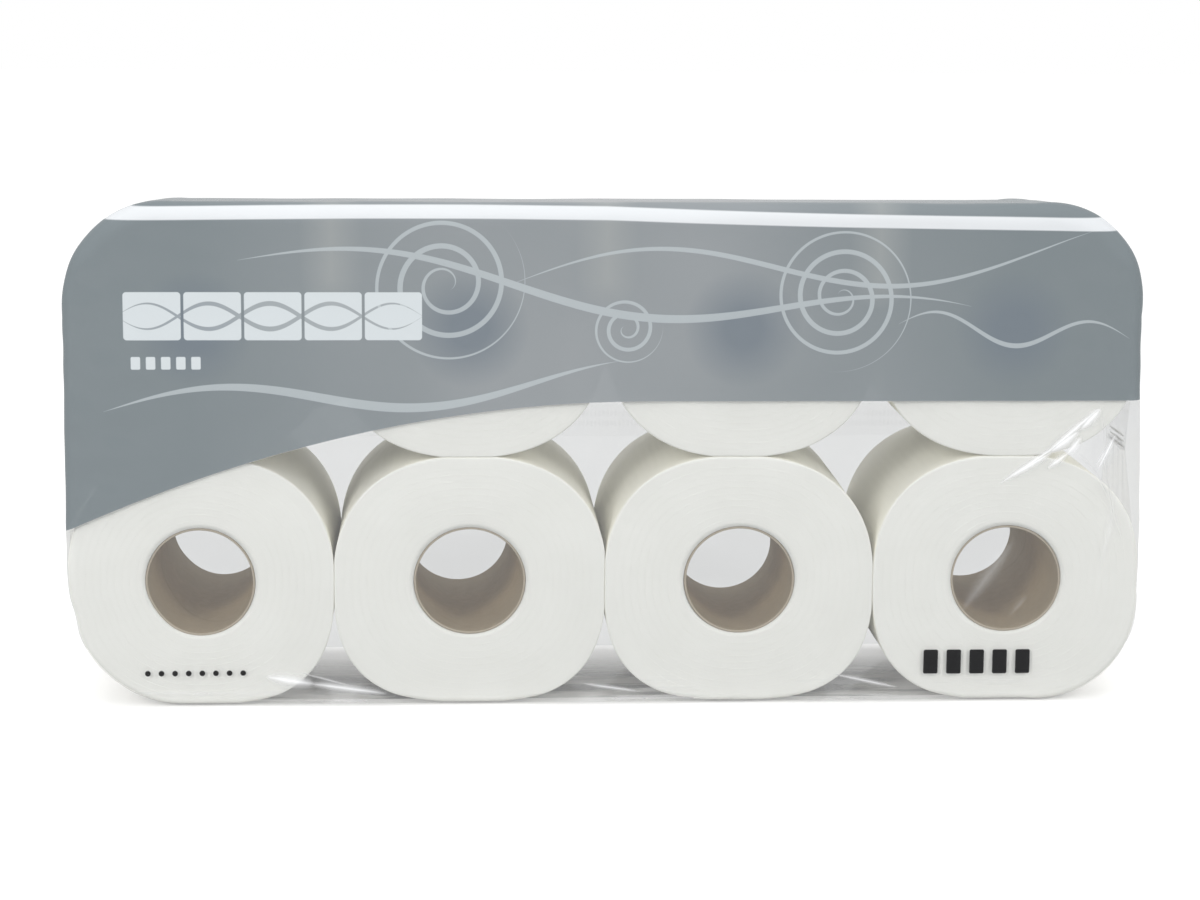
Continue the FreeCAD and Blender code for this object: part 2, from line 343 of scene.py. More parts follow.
def settled(spots):
    """The wrap's pull on the soft rolls: the top sinks towards the back, the ends draw in a little,
    and no two corners of the pack end up equally round."""
    x, y, z = spots[..., 0], spots[..., 1], spots[..., 2]
    push_x, push_z = np.zeros(x.shape), np.zeros(x.shape)
    for side in (-1, 1):
        for way in (-1, 1):
            beyond_x = np.clip(side * x - (FILM_HALF_WIDTH - FILM_CORNER), 0, None)
            beyond_z = np.clip(way * (z - FILM_HALF_HEIGHT) - (FILM_HALF_HEIGHT - FILM_CORNER), 0, None)
            reach = np.hypot(beyond_x, beyond_z) + 1e-9
            share = 2 * beyond_x * beyond_z / reach**2 * np.clip(reach / FILM_CORNER, 0, 1) ** 2
            push_x += side * beyond_x / reach * share * CORNER_PUSH[side, way]
            push_z += way * beyond_z / reach * share * CORNER_PUSH[side, way]
    high = eased((z - HIGH_FROM) / HIGH_SPAN)
    outer = np.clip((np.abs(x) - DRAW_FROM) / DRAW_SPAN, 0, 1) ** 1.6
    nip = LEFT_NIP * np.exp(-(((z - LEFT_NIP_HEIGHT) / LEFT_NIP_REACH) ** 2))
    draw_in = np.where(x < 0, LEFT_DRAW + 0.6 * MM * high + nip, RIGHT_DRAW * high)
    back = np.clip((y - SINK_FROM_Y) / SINK_SPAN_Y, 0, 1)
    sink = BACK_SINK * back * np.clip((z - SINK_FROM_Z) / SINK_SPAN_Z, 0, 1)
    return np.stack([x + push_x - np.sign(x) * outer * draw_in, y, z + push_z - sink], axis=-1)


def outline_radius(angle, foot_squareness):
    """Distance from a roll's middle to its squeezed outline. The half it stands on is squarer."""
    squareness = np.where(np.sin(angle) < 0, foot_squareness, ROLL_SQUARENESS)
    wide = np.abs(np.cos(angle) / ROLL_HALF_WIDTH) ** squareness
    high = np.abs(np.sin(angle) / ROLL_HALF_HEIGHT) ** squareness
    return (wide + high) ** (-1 / squareness)


def film_rim(out_z):
    """The film's rim radius for a direction out of the pack. It is wider along the top."""
    return PLAIN_RIM + (TOP_RIM - PLAIN_RIM) * eased((out_z - 0.35) / 0.45)


def film_reach(heading, middle_x, middle_z):
    """Distance from a roll's middle to the film in each direction, and the film's rim radius there."""
    reach = np.zeros(len(heading))
    for _ in range(60):
        x = np.abs(middle_x + heading[:, 0] * reach) - (FILM_HALF_WIDTH - FILM_CORNER)
        z = np.abs(middle_z - FILM_HALF_HEIGHT + heading[:, 1] * reach) - (FILM_HALF_HEIGHT - FILM_CORNER)
        inside = np.hypot(np.maximum(x, 0), np.maximum(z, 0)) + np.minimum(np.maximum(x, z), 0)
        reach += FILM_CORNER - inside
    beyond_x, beyond_z = np.maximum(x, 0), np.maximum(z, 0)
    out_z = np.sign(middle_z - FILM_HALF_HEIGHT + heading[:, 1] * reach) * beyond_z
    return reach, film_rim(out_z / (np.hypot(beyond_x, beyond_z) + 1e-9))


def lean_bore(spots, middle_x, middle_z, lean):
    """Shifts the bore's far end, because no core lies quite square in its roll."""
    away = np.hypot(spots[..., 0] - middle_x, spots[..., 2] - middle_z)
    share = np.clip((ROLL_HALF_HEIGHT - away) / (ROLL_HALF_HEIGHT - BORE_RADIUS - 1 * MM), 0, 1)
    share = share * np.clip((spots[..., 1] + ROLL_HALF_LENGTH) / (2 * ROLL_HALF_LENGTH), 0, 1)
    leaned = spots.copy()
    leaned[..., 0] += share * lean[0] * MM
    leaned[..., 2] += share * lean[1] * MM
    return leaned


def attribute(tree, name):
    """A number that the mesh keeps for each of its points."""
    return Output(tree, add(tree, "ShaderNodeAttribute", attribute_name=name).outputs["Fac"])


def noise(tree, place, scale, detail, roughness=0.5, distortion=0.0):
    """A cloudy number over a place."""
    cloudy = {"Vector": place, "Scale": scale, "Detail": detail, "Roughness": roughness}
    return output(tree, "ShaderNodeTexNoise", {**cloudy, "Distortion": distortion})


def bump(tree, strength, depth, relief):
    """A fine relief as the surface's normal."""
    return output(tree, "ShaderNodeBump", {"Strength": strength, "Distance": depth, "Height": relief})


def dull_skin(tree, colour, roughness, gloss, normal):
    """Finishes a dull material."""
    finish = {"Base Color": colour, "Roughness": roughness, "Specular IOR Level": gloss, "Normal": normal}
    add(tree, "ShaderNodeOutputMaterial", [output(tree, "ShaderNodeBsdfPrincipled", finish)])


tissue, tree = new_material("tissue_paper")
side_share = attribute(tree, "side")
place = add(tree, "ShaderNodeTexCoord").outputs["Object"]
sheet_map = output(tree, "ShaderNodeUVMap", uv_map="sheet")
cloud = noise(tree, place, 55.0, 2.0)
fibre = noise(tree, place, 1500.0, 1.0, roughness=0.7)
winding = (attribute(tree, "turn") * (2 * math.pi * WOUND_LINES)).sine() * (1.0 - side_share)
dimples = output(tree, "ShaderNodeTexVoronoi", {"Vector": sheet_map, "Scale": 290.0, "Randomness": 0.25})
dimple_height = dimples.at_most(0.45) * side_share
sheet_along, sheet_across, _ = outputs(tree, "ShaderNodeSeparateXYZ", [sheet_map])
cut_near = abs((sheet_along / SHEET_LENGTH).fraction() - 0.5) < 0.003
slits = (sheet_across * SLITS_PER_METRE).fraction() < 0.65
perforation = cut_near * slits * side_share
pale_share = cloud * 0.8 + fibre.scaled(0.35, -0.1) - perforation * 0.6
tone = blend(pale_share, TISSUE_DEEP, TISSUE_PALE)
# Painted light: the sides take the paler cream tone.
tone = blend(side_share * 0.9, tone, TISSUE_SIDE_GLOW)
relief = fibre.scaled(0.35, winding.scaled(0.12, dimple_height * 1.6)) - perforation
relief = cloud.scaled(0.8, relief)
dull_skin(tree, tone, 0.95, 0.2, bump(tree, 0.55, 0.3 * MM, relief))


def named_inputs(tree):
    """What comes into a node group, by name."""
    return {socket.name: Output(tree, socket) for socket in tree.nodes.new("NodeGroupInput").outputs}


def geometry_tree(name, inputs):
    """An empty Geometry Nodes tree and its inputs. The first input is the piece that it adds to."""
    tree = bpy.data.node_groups.new(name, "GeometryNodeTree")
    for label, kind in inputs:
        tree.interface.new_socket(label, in_out="INPUT", socket_type="NodeSocket" + kind)
    tree.interface.new_socket(inputs[0][0], in_out="OUTPUT", socket_type="NodeSocketGeometry")
    return tree, named_inputs(tree)


def join_parts(tree, parts):
    """One plain mesh from several parts."""
    joined = add(tree, "GeometryNodeJoinGeometry")
    for part in reversed(parts):
        tree.links.new(part.socket, joined.inputs[0])
    return output(tree, "GeometryNodeRealizeInstances", [joined.outputs[0]])


def turn_tree():
    """Geometry Nodes that add the raised edges of a few turns to both ends of a roll."""
    lengths = ("Centre X", "Centre Z", "Half Width", "Half Height", "Bore", "Face Y", "Ridge")
    inputs = [("Roll", "Geometry"), *[(length, "Float") for length in lengths]]
    tree, sizes = geometry_tree("raised_turns", [*inputs, ("Turns", "Int"), ("Paper", "Material")])
    points = sizes["Turns"] * TURN_POINTS
    path = output(tree, "GeometryNodeMeshLine", {"Count": points})
    share = output(tree, "GeometryNodeInputIndex") / points
    angle = share * sizes["Turns"] * (2 * math.pi)
    cosine = angle.cosine()
    sine = angle.sine()
    wide = abs(cosine / sizes["Half Width"]) ** ROLL_SQUARENESS
    high = abs(sine / sizes["Half Height"]) ** ROLL_SQUARENESS
    reach = (wide + high) ** (-1 / ROLL_SQUARENESS)
    wobble = output(tree, "ShaderNodeTexNoise", {"W": share, "Scale": 60.0}, noise_dimensions="1D")
    outwards = wobble.scaled(0.02, share.scaled(0.84, 0.05))
    radius = (reach - sizes["Bore"]).scaled(outwards, sizes["Bore"])
    x = cosine.scaled(radius, sizes["Centre X"])
    z = sine.scaled(radius, sizes["Centre Z"])
    parts = [sizes["Roll"]]
    for way in (-1, 1):
        spot = output(tree, "ShaderNodeCombineXYZ", [x, sizes["Face Y"] * way, z])
        placed = output(tree, "GeometryNodeSetPosition", {"Geometry": path, "Position": spot})
        curve = output(tree, "GeometryNodeMeshToCurve", {"Mesh": placed})
        round_line = {"Resolution": 4, "Radius": sizes["Ridge"]}
        section = output(tree, "GeometryNodeCurvePrimitiveCircle", round_line)
        ridge = {"Curve": curve, "Profile Curve": section, "Fill Caps": True}
        parts.append(output(tree, "GeometryNodeCurveToMesh", ridge))
    smooth = output(tree, "GeometryNodeSetShadeSmooth", {"Geometry": join_parts(tree, parts)})
    finish = output(tree, "GeometryNodeSetMaterial", {"Geometry": smooth, "Material": sizes["Paper"]})
    add(tree, "NodeGroupOutput", [finish])
    return tree


def settle(made, tree, values):
    """Runs a Geometry Nodes tree on an object with named values and keeps the plain mesh."""
    modifier = made.modifiers.new("nodes", "NODES")
    modifier.node_group = tree
    sockets = {s.name: s.identifier for s in tree.interface.items_tree if s.in_out == "INPUT"}
    for name, value in values.items():
        modifier[sockets[name]] = value
    made.update_tag()
    bpy.context.view_layer.update()
    seen = made.evaluated_get(bpy.context.evaluated_depsgraph_get())
    mesh = bpy.data.meshes.new_from_object(seen)
    made.modifiers.clear()
    old = made.data
    made.data = mesh
    bpy.data.meshes.remove(old)


def roll_rows(middle_x, middle_z, seed):
    """The rings of one roll about its own middle, with how far each is wound and how much is side."""
    angle = np.arange(AROUND) / AROUND * 2 * math.pi
    tail = np.random.default_rng(seed).uniform(-0.35, 0.35) + (math.pi if seed % 2 else 0)
    wound_on = -SHEET_STEP * (1 - ((angle - tail) / (2 * math.pi)) % 1.0) ** 6
    uneven = ripples(angle * 9 * MM, 0, seed, 21 * MM) * 0.25 * MM - 0.3 * MM
    heading = np.stack([np.cos(angle), np.sin(angle)], axis=1)
    foot_squareness = ROLL_SQUARENESS if middle_z > FILM_HALF_HEIGHT else FOOT_SQUARENESS
    reach = outline_radius(angle, foot_squareness) + wound_on + uneven
    reach = np.minimum(reach, PRESSED_HALF_WIDTH / np.maximum(np.abs(heading[:, 0]), 0.1))
    reach = np.minimum(reach, PRESSED_HALF_HEIGHT / np.maximum(np.abs(heading[:, 1]), 0.1))
    to_film, rim_there = film_reach(heading, middle_x, middle_z)
    reach = np.minimum(reach, to_film - FILM_CLEARANCE)
    bore = heading * BORE_RADIUS * np.array([1, BORE_SQUASH])
    against_film = 1 - eased((to_film - FILM_CLEARANCE - reach) / (6 * MM))
    nicks = ripples(angle * 30 * MM, 0, seed + 50, 13 * MM) * 0.15 * MM
    rim = ROLL_RIM + nicks + (rim_there - RIM_CLEARANCE - ROLL_RIM) * against_film
    rings, turns, sides = [], [], []

    def put(share, inset, y, side):
        outer = heading * (reach - inset)[:, None]
        flat = bore + (outer - bore) * share
        rings.append(np.stack([flat[:, 0], y * np.ones(AROUND), flat[:, 1]], axis=1))
        turns.append(np.full(AROUND, share if side == 0 else 1.0))
        sides.append(np.full(AROUND, side))

    for way in (-1, 1):
        rows = []
        for ring in range(END_RINGS + 1):
            rows.append((ring / END_RINGS, rim, way * (ROLL_HALF_LENGTH - END_SINK), 0.0))
        for step in range(1, RIM_STEPS + 1):
            bend = step / RIM_STEPS * math.pi / 2
            y = way * (ROLL_HALF_LENGTH - END_SINK - rim * (1 - math.cos(bend)))
            rows.append((1.0, rim * (1 - math.sin(bend)), y, (step / RIM_STEPS) ** 3))
        if way == 1:
            start_y = -(ROLL_HALF_LENGTH - END_SINK - rim)
            for step in range(1, SIDE_STEPS):
                along = step / SIDE_STEPS
                belly = ripples(angle * 50 * MM, along * 90 * MM, seed + 30, 60 * MM) * 0.15 * MM
                put(1.0, np.maximum(0.05 * MM - belly, 0), start_y * (1 - along) - start_y * along, 1.0)
            rows.reverse()
        for row in rows:
            put(*row)
    return np.array(rings), np.array(turns), np.array(sides)


def mesh_points(mesh):
    """The places of all points of a mesh."""
    spots = np.zeros(len(mesh.vertices) * 3, np.float32)
    mesh.vertices.foreach_get("co", spots)
    return spots.reshape(-1, 3).astype(float)


def place_points(mesh, spots):
    """Puts all points of a mesh at new places."""
    mesh.vertices.foreach_set("co", spots.astype(np.float32).ravel())
    mesh.update()


def swell_ends(roll, middle_x, middle_z, lean, seed):
    """Gives both end faces a slight swell between core and rim, shallow dents and a leaning bore."""
    spots = mesh_points(roll.data)
    away = np.hypot(spots[:, 0] - middle_x, spots[:, 2] - middle_z)
    share = np.clip((away - BORE_RADIUS) / (ROLL_HALF_HEIGHT - BORE_RADIUS), 0, 1)
    painted_sheen = END_SWELL * np.sin(math.pi * share)
    painted_sheen += ripples(spots[:, 0], spots[:, 2], seed + 10, 34 * MM) * END_DENT * np.sin(math.pi * share)
    near_end = np.clip((np.abs(spots[:, 1]) - ROLL_HALF_LENGTH / 2) / (ROLL_HALF_LENGTH / 2), 0, 1)
    spots[:, 1] += np.sign(spots[:, 1]) * near_end**4 * painted_sheen
    place_points(roll.data, settled(lean_bore(spots, middle_x, middle_z, lean)))


raised_turns = turn_tree()
for level_number, (level_word, middle_z) in enumerate(LEVELS):
    for column, middle_x in enumerate(COLUMN_X):
        node = f"paper_roll_{level_word}_{column + 1}"
        seed = 10 * level_number + column
        rings, turns, sides = roll_rows(middle_x, middle_z, seed)
        faces = ring_faces(len(rings), AROUND)
        roll = new_object(f"wound_{node}", rings + np.array([middle_x, 0, middle_z]), faces, tissue)
        point_values(roll.data, "turn", turns)
        point_values(roll.data, "side", sides)
        steps = np.linalg.norm(np.diff(rings, axis=1, append=rings[:, :1]), axis=2)
        girth = np.concatenate([np.zeros((len(rings), 1)), np.cumsum(steps, axis=1)[:, :-1]], axis=1)
        places = np.stack([girth, rings[:, :, 1]], axis=2)
        corner_places(roll.data, "sheet", places, faces, AROUND, float(steps[30].sum()))
        settle(roll, raised_turns, {
            "Centre X": middle_x,
            "Centre Z": middle_z,
            "Half Width": ROLL_HALF_WIDTH,
            "Half Height": ROLL_HALF_HEIGHT,
            "Bore": BORE_RADIUS,
            "Face Y": ROLL_HALF_LENGTH - END_SINK - TURN_SINK,
            "Ridge": TURN_RIDGE,
            "Turns": TURN_LINES,
            "Paper": tissue,
        })
        swell_ends(roll, middle_x, middle_z, CORE_LEANS[level_word][column], seed)
        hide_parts(node)
        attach(roll, "root")

# The cores are tubes of grey-brown card, wound from a strip, so a seam winds along the inside.
# Each sits glued in the first turns of its roll. Painted shade darkens it towards its ends, and the knife
# leaves its cut rim grey.
CORE_OUTER = 23.2 * MM
CORE_INNER = 22.3 * MM
CORE_HALF_LENGTH = 48.3 * MM
CORE_AROUND = 96
CARD_PALE = (0.60, 0.475, 0.29, 1)
CARD_DEEP = (0.44, 0.335, 0.19, 1)
CARD_CUT = (0.40, 0.345, 0.265, 1)
# Painted shade towards the tube's ends.
CARD_END_SHADE = (0.29, 0.235, 0.155, 1)
SEAM_LEAN = 9.0
CARD_BEVEL = 0.15 * MM


def drawn_noise(tree, place, scale, detail, turn=0.0, distortion=0.0):
    """A cloudy number drawn out along one direction."""
    drawn = output(tree, "ShaderNodeMapping", {"Vector": place, "Rotation": (0, 0, turn), "Scale": scale})
    return noise(tree, drawn, 1.0, detail, distortion=distortion)


card, tree = new_material("core_card")
wall_map = output(tree, "ShaderNodeUVMap", uv_map="wall")
place = add(tree, "ShaderNodeTexCoord").outputs["Object"]
wall_turn, wall_along, _ = outputs(tree, "ShaderNodeSeparateXYZ", [wall_map])
grain = drawn_noise(tree, wall_map, (40, 260, 1), 5.0, turn=0.5)
flecks = noise(tree, place, 900.0, 3.0)
winding = wall_along.scaled(SEAM_LEAN, wall_turn)
seam = abs(winding.fraction() - 0.5).ranged(0.004, 0.012, 1.0, 0.0)
pale_share = seam.scaled(-0.35, grain.scaled(0.9, flecks * 0.5) - 0.2)
tone = blend(pale_share, CARD_DEEP, CARD_PALE)
along = outputs(tree, "ShaderNodeSeparateXYZ", [place])[1]
# Painted shade: the wall darkens towards the tube's ends.
tone = blend(abs(along).ranged(0.012, 0.047, 0.0, 0.85), tone, CARD_END_SHADE)
tone = blend(attribute(tree, "cut"), tone, CARD_CUT)
dull_skin(tree, tone, 0.82, 0.3, bump(tree, 0.4, 0.15 * MM, seam.scaled(-0.6, grain)))


def core_rows(seed):
    """The rings of one card tube: the outer wall, the cut rims and the inner wall."""
    angle = np.arange(CORE_AROUND) / CORE_AROUND * 2 * math.pi
    heading = np.stack([np.cos(angle), BORE_SQUASH * np.sin(angle)], axis=1)
    dent = ripples(angle * 9 * MM, 0, seed + 80, 30 * MM) * 0.1 * MM
    ending = (
        (CORE_OUTER, CORE_HALF_LENGTH - CARD_BEVEL, 0.3),
        (CORE_OUTER - CARD_BEVEL, CORE_HALF_LENGTH, 1.0),
        (CORE_INNER + CARD_BEVEL, CORE_HALF_LENGTH, 1.0),
        (CORE_INNER, CORE_HALF_LENGTH - CARD_BEVEL, 0.8),
        (CORE_INNER, CORE_HALF_LENGTH - 5 * CARD_BEVEL, 0.0),
        (CORE_INNER, CORE_HALF_LENGTH / 2, 0.0),
    )
    profile = [*ending, (CORE_INNER, 0, 0.0), *[(radius, -y, cut) for radius, y, cut in reversed(ending)]]
    rings = []
    for radius, y, _ in profile:
        flat = heading * (radius - 0.1 * MM + dent)[:, None]
        rings.append(np.stack([flat[:, 0], np.full(CORE_AROUND, y), flat[:, 1]], axis=1))
    cuts = np.array([np.full(CORE_AROUND, cut) for _, _, cut in profile])
    return np.array(rings), cuts


for level_number, (level_word, middle_z) in enumerate(LEVELS):
    for column, middle_x in enumerate(COLUMN_X):
        node = f"core_{level_word}_{column + 1}"
        rings, cuts = core_rows(10 * level_number + column)
        faces = ring_faces(len(rings), CORE_AROUND)
        spots = rings + np.array([middle_x, 0, middle_z])
        spots = settled(lean_bore(spots, middle_x, middle_z, CORE_LEANS[level_word][column]))
        core = new_object(f"card_{node}", spots, faces, card)
        point_values(core.data, "cut", cuts)
        turned_share = np.broadcast_to(np.arange(CORE_AROUND) / CORE_AROUND, rings.shape[:2])
        places = np.stack([turned_share, rings[:, :, 1] + 0.013 * column], axis=2)
        corner_places(core.data, "wall", places, faces, CORE_AROUND, 1.0)
        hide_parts(node)
        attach(core, "root")

# The wrap is one tube of thin clear film, drawn tight over all eight rolls and shrunk on.
# It is flat over the roll ends, rounder along the top edges, and creased by the pull.
FILM_FACE = 50.2 * MM
FILM_CELL = 1.9 * MM
PANEL_INSET = 11 * MM
RIM_ANGLES = [math.radians(a) for a in (0, 11, 22, 33, 44, 55, 66, 78, 90)]
BAND_ROWS = 28


def near_line(x, z, start, end, width):
    """1 on a straight crease and falling off over its width and towards its ends."""
    along = np.array(end) - np.array(start)
    length = np.linalg.norm(along)
    share = np.clip(((x - start[0]) * along[0] + (z - start[1]) * along[1]) / length**2, 0, 1)
    distance = np.hypot(x - start[0] - share * along[0], z - start[1] - share * along[1])
    return np.exp(-distance / width) * np.sqrt(np.clip(4 * share * (1 - share), 0, 1))


# Folds pressed out of the front, in millimetres: from, to, width, height.
FRONT_FOLDS = (
    ((203, 127), (181, 108), 2.4, 1.0),
    ((181, 108), (166, 95), 2.2, 0.7),
    ((196, 114), (186, 99), 2.0, 0.5),
    ((210, 112), (203, 97), 2.0, 0.5),
    ((196, 106), (217, 68), 3.0, 0.4),
    ((-137, 12), (-118, 8), 2.4, 0.9),
    ((-118, 8), (-90, 5), 2.4, 0.6),
    ((158, 70), (188, 34), 4.0, 0.35),
    ((-214, 70), (-190, 44), 4.0, 0.3),
)


def front_relief(x, z, y_way):
    """How far the film stands out from a flat front or back."""
    slack = ripples(x, z * 1.6, 5 if y_way < 0 else 6, 70 * MM) * 0.16 * MM
    fine = ripples(x * 0.35, z, 7 if y_way < 0 else 8, 12 * MM) * 0.06 * MM
    low = eased((30 * MM - z) / (26 * MM))
    pulled = ripples(x * 0.16, z, 9, 7 * MM) * 0.22 * MM * low
    end = eased((np.abs(x) - 165 * MM) / (55 * MM))
    gathered = ripples(x, z * 2.2, 11, 26 * MM) * 0.22 * MM * end
    total = slack + fine + pulled + gathered
    for start, end_spot, width, height in FRONT_FOLDS:
        spot = [(px * MM, pz * MM) for px, pz in (start, end_spot)]
        total = total + near_line(x, z, spot[0], spot[1], width * MM) * height * MM
    return total


def band_relief(x, y, z):
    """How far the film stands out on the top, the bottom and the ends."""
    top = eased((z - 150 * MM) / (50 * MM))
    slack = ripples(x, y, 21, 60 * MM) * 0.14 * MM
    drawn = ripples(x * 0.3, y * 1.4, 22, 16 * MM) * 0.07 * MM
    end = eased((np.abs(x) - 200 * MM) / (24 * MM))
    gathers = ripples(y * 0.4, z, 23, 14 * MM) * 0.1 * MM * end
    return (slack + drawn) * (0.4 + 0.6 * top) + gathers


inner_x = FILM_HALF_WIDTH - FILM_CORNER
inner_z = FILM_HALF_HEIGHT - FILM_CORNER
panel_corner = FILM_CORNER - PANEL_INSET


def spaced(inner):
    """Grid places over one side of the panel, with the two rounded corners' stretches at its ends."""
    corner_cells = round(panel_corner / FILM_CELL)
    middle_cells = round(2 * inner / FILM_CELL)
    return np.concatenate([
        np.linspace(-inner - panel_corner, -inner, corner_cells + 1)[:-1],
        np.linspace(-inner, inner, middle_cells + 1)[:-1],
        np.linspace(inner, inner + panel_corner, corner_cells + 1),
    ])


def grid_faces(rows, columns):
    """The faces of a grid of points."""
    corners = [row * columns + column for row in range(rows - 1) for column in range(columns - 1)]
    return [(corner, corner + 1, corner + columns + 1, corner + columns) for corner in corners]


def border_of(rows, columns):
    """The points round the edge of a grid, in order."""
    points = np.arange(rows * columns).reshape(rows, columns)
    return np.concatenate([points[0, :-1], points[:-1, -1], points[-1, :0:-1], points[:0:-1, 0]])


columns_x = spaced(inner_x)
rows_z = spaced(inner_z)
grid_x, grid_z = np.meshgrid(columns_x, rows_z)
lean_x = np.clip((np.abs(grid_x) - inner_x) / panel_corner, 0, 1)
lean_z = np.clip((np.abs(grid_z) - inner_z) / panel_corner, 0, 1)
round_x = np.sign(grid_x) * lean_x * np.sqrt(1 - lean_z**2 / 2)
round_z = np.sign(grid_z) * lean_z * np.sqrt(1 - lean_x**2 / 2)
base_x = np.sign(grid_x) * np.minimum(np.abs(grid_x), inner_x)
base_z = np.sign(grid_z) * np.minimum(np.abs(grid_z), inner_z)
panel_x = base_x + round_x * panel_corner
panel_z = base_z + round_z * panel_corner + FILM_HALF_HEIGHT

rows, columns = grid_x.shape
border = border_of(rows, columns)
edge_x = base_x.ravel()[border]
edge_z = base_z.ravel()[border] + FILM_HALF_HEIGHT
out_x = round_x.ravel()[border]
out_z = round_z.ravel()[border]

rim_radius = film_rim(out_z) * (1 + 0.06 * ripples(edge_x, 0, 31, 90 * MM))
rim_steps = []
for bend in RIM_ANGLES:
    rim_steps.append((rim_radius * (1 - math.sin(bend)), rim_radius * (1 - math.cos(bend)), bend))


def edge_ring(inset, y, bend, way):
    """One ring round the pack, with the film's relief laid on along its normal."""
    reach = FILM_CORNER - inset
    x = edge_x + out_x * reach
    z = edge_z + out_z * reach
    turned = eased(bend / (math.pi / 2))
    relief = front_relief(x, z, way) * (1 - turned) + band_relief(x, y, z) * turned
    relief = relief * (0.25 + 0.75 * np.abs(1 - 2 * turned))
    x = x + out_x * math.sin(bend) * relief
    z = np.maximum(z + out_z * math.sin(bend) * relief, 0)
    return np.stack([x, y + way * math.cos(bend) * relief, z], axis=1)


panels = []
for way in (-1, 1):
    panel_y = way * (FILM_FACE + front_relief(panel_x, panel_z, way))
    panels.append(np.stack([panel_x, panel_y, panel_z], axis=2).reshape(-1, 3))
rings = [edge_ring(inset, -FILM_FACE + depth, bend, -1) for inset, depth, bend in rim_steps]
band_start = -FILM_FACE + rim_steps[-1][1]
for row in range(1, BAND_ROWS):
    rings.append(edge_ring(0, band_start * (1 - 2 * row / BAND_ROWS), math.pi / 2, -1))
rings += [edge_ring(inset, FILM_FACE - depth, bend, 1) for inset, depth, bend in reversed(rim_steps)]

panel_faces = grid_faces(rows, columns)
film_points = np.concatenate(panels + rings)
back_start = rows * columns
film_faces = panel_faces + [tuple(back_start + corner for corner in reversed(face)) for face in panel_faces]
around = len(border)
ring_loops = [2 * back_start + row * around + np.arange(around) for row in range(len(rings))]
loops = [border, *ring_loops, back_start + border]
for lower, upper in zip(loops, loops[1:]):
    for here in range(around):
        after = (here + 1) % around
        face = (lower[after], lower[here], upper[here], upper[after])
        film_faces.append(tuple(int(spot) for spot in face))

# The print covers the upper part of the film in silvery grey, with a swooping lower edge.
# It holds pale spirals, waves and a strip of paper sheets. Black marks sit on the clear part below,
# where the film is creased and drawn.
INK = (0.177, 0.205, 0.218, 1)
# Painted sheen: a lighter ink over the middle of the pack.
INK_SHEEN = (0.280, 0.297, 0.310, 1)
# Painted shade over the hollow cores behind the print.
INK_HOLLOW_SHADE = (0.145, 0.173, 0.203, 1)
INK_PALE = (0.42, 0.46, 0.48, 1)
# Painted light between the rolls, behind the print.
INK_GAP_LIGHT = (0.33, 0.345, 0.34, 1)
INK_WHITE = (0.56, 0.60, 0.62, 1)
# Painted highlight: the pale stripe along the film's top front edge, where the overhead box would be
# mirrored.
BAND_HIGHLIGHT = (0.64, 0.66, 0.68, 1)
INK_BLACK = (0.004, 0.004, 0.005, 1)
HAZE = (0.70, 0.70, 0.70, 1)
# Partly film whitened at creases, partly painted highlight.
CREASE_WHITENING_AND_GLINT = (0.95, 0.96, 0.98, 1)
# Painted shade along grey creases.
CREASE_SHADE = (0.34, 0.35, 0.36, 1)
# Painted silvery reflections and shade in the gathered film under the pack.
STREAK_GLINT = (1.0, 1.0, 1.0, 1)
STREAK_SHADE = (0.13, 0.138, 0.15, 1)
CLEAR_COVER = 0.11
UNDER_COVER = 0.6
FOLD_COVER = 0.015
WELD_COVER = 0.6
INK_COVER = 0.97
MARK_COVER = 0.99
MOTIF_SHARE = 0.75
HOLLOW_SHADE_SHARE = 0.8
GAP_LIGHT_SHARE = 0.6
QUILTING_SHARE = 0.7
CREASE_COVER = 0.92
PRINT_TURN = 17 * MM
PRINT_SWOOP = 0.945
PRINT_FOOT = 128 * MM
GLOSS_HEAD_ON = 0.022
FOLD_GLOSS = 0.008
GLOSS_RISE = 0.45
FILM_ROUGHNESS = 0.09
WRINKLE_SCALE = 75.0
WRINKLE_DEPTH = 0.3 * MM
PRINT_SOFTNESS = 0.3 * MM
BAND_SOFTNESS = 0.5 * MM


def new_group(name, inputs, outputs=("Mask",)):
    """An empty shader node group with named numbers in and masks out, and what comes into it."""
    group = bpy.data.node_groups.new(name, "ShaderNodeTree")
    for labels, way in ((inputs, "INPUT"), (outputs, "OUTPUT")):
        for label in labels:
            group.interface.new_socket(label, in_out=way, socket_type="NodeSocketFloat")
    return group, named_inputs(group)


def soft_step(value, edge, softness):
    """1 where value is under edge, 0 over it, with a soft change."""
    return ((edge - value) / softness + 0.5).clamped()


def tapered(share):
    """Rises from 0 at the start of a line to 1 halfway and falls to 0 at its end."""
    return (share * 4.0 * (1.0 - share)).clamped()


SOFT_EDGE = 0.25 * MM
marks_group, sizes = new_group(
    "row_of_marks",
    ("X", "Z", "Start", "Pitch", "Count", "Height", "Half Width", "Half Height", "Rounding", "Softness"),
)
steps = (sizes["X"] - sizes["Start"]) / sizes["Pitch"]
nearest = steps.rounded().at_least(0.0).at_most(sizes["Count"] - 1.0)
off_x = (steps - nearest) * sizes["Pitch"]
off_z = sizes["Z"] - sizes["Height"]
over_x = (abs(off_x) - (sizes["Half Width"] - sizes["Rounding"])).at_least(0.0)
over_z = (abs(off_z) - (sizes["Half Height"] - sizes["Rounding"])).at_least(0.0)
distance = (over_x * over_x + over_z * over_z).root()
add(marks_group, "NodeGroupOutput", [soft_step(distance, sizes["Rounding"], sizes["Softness"])])

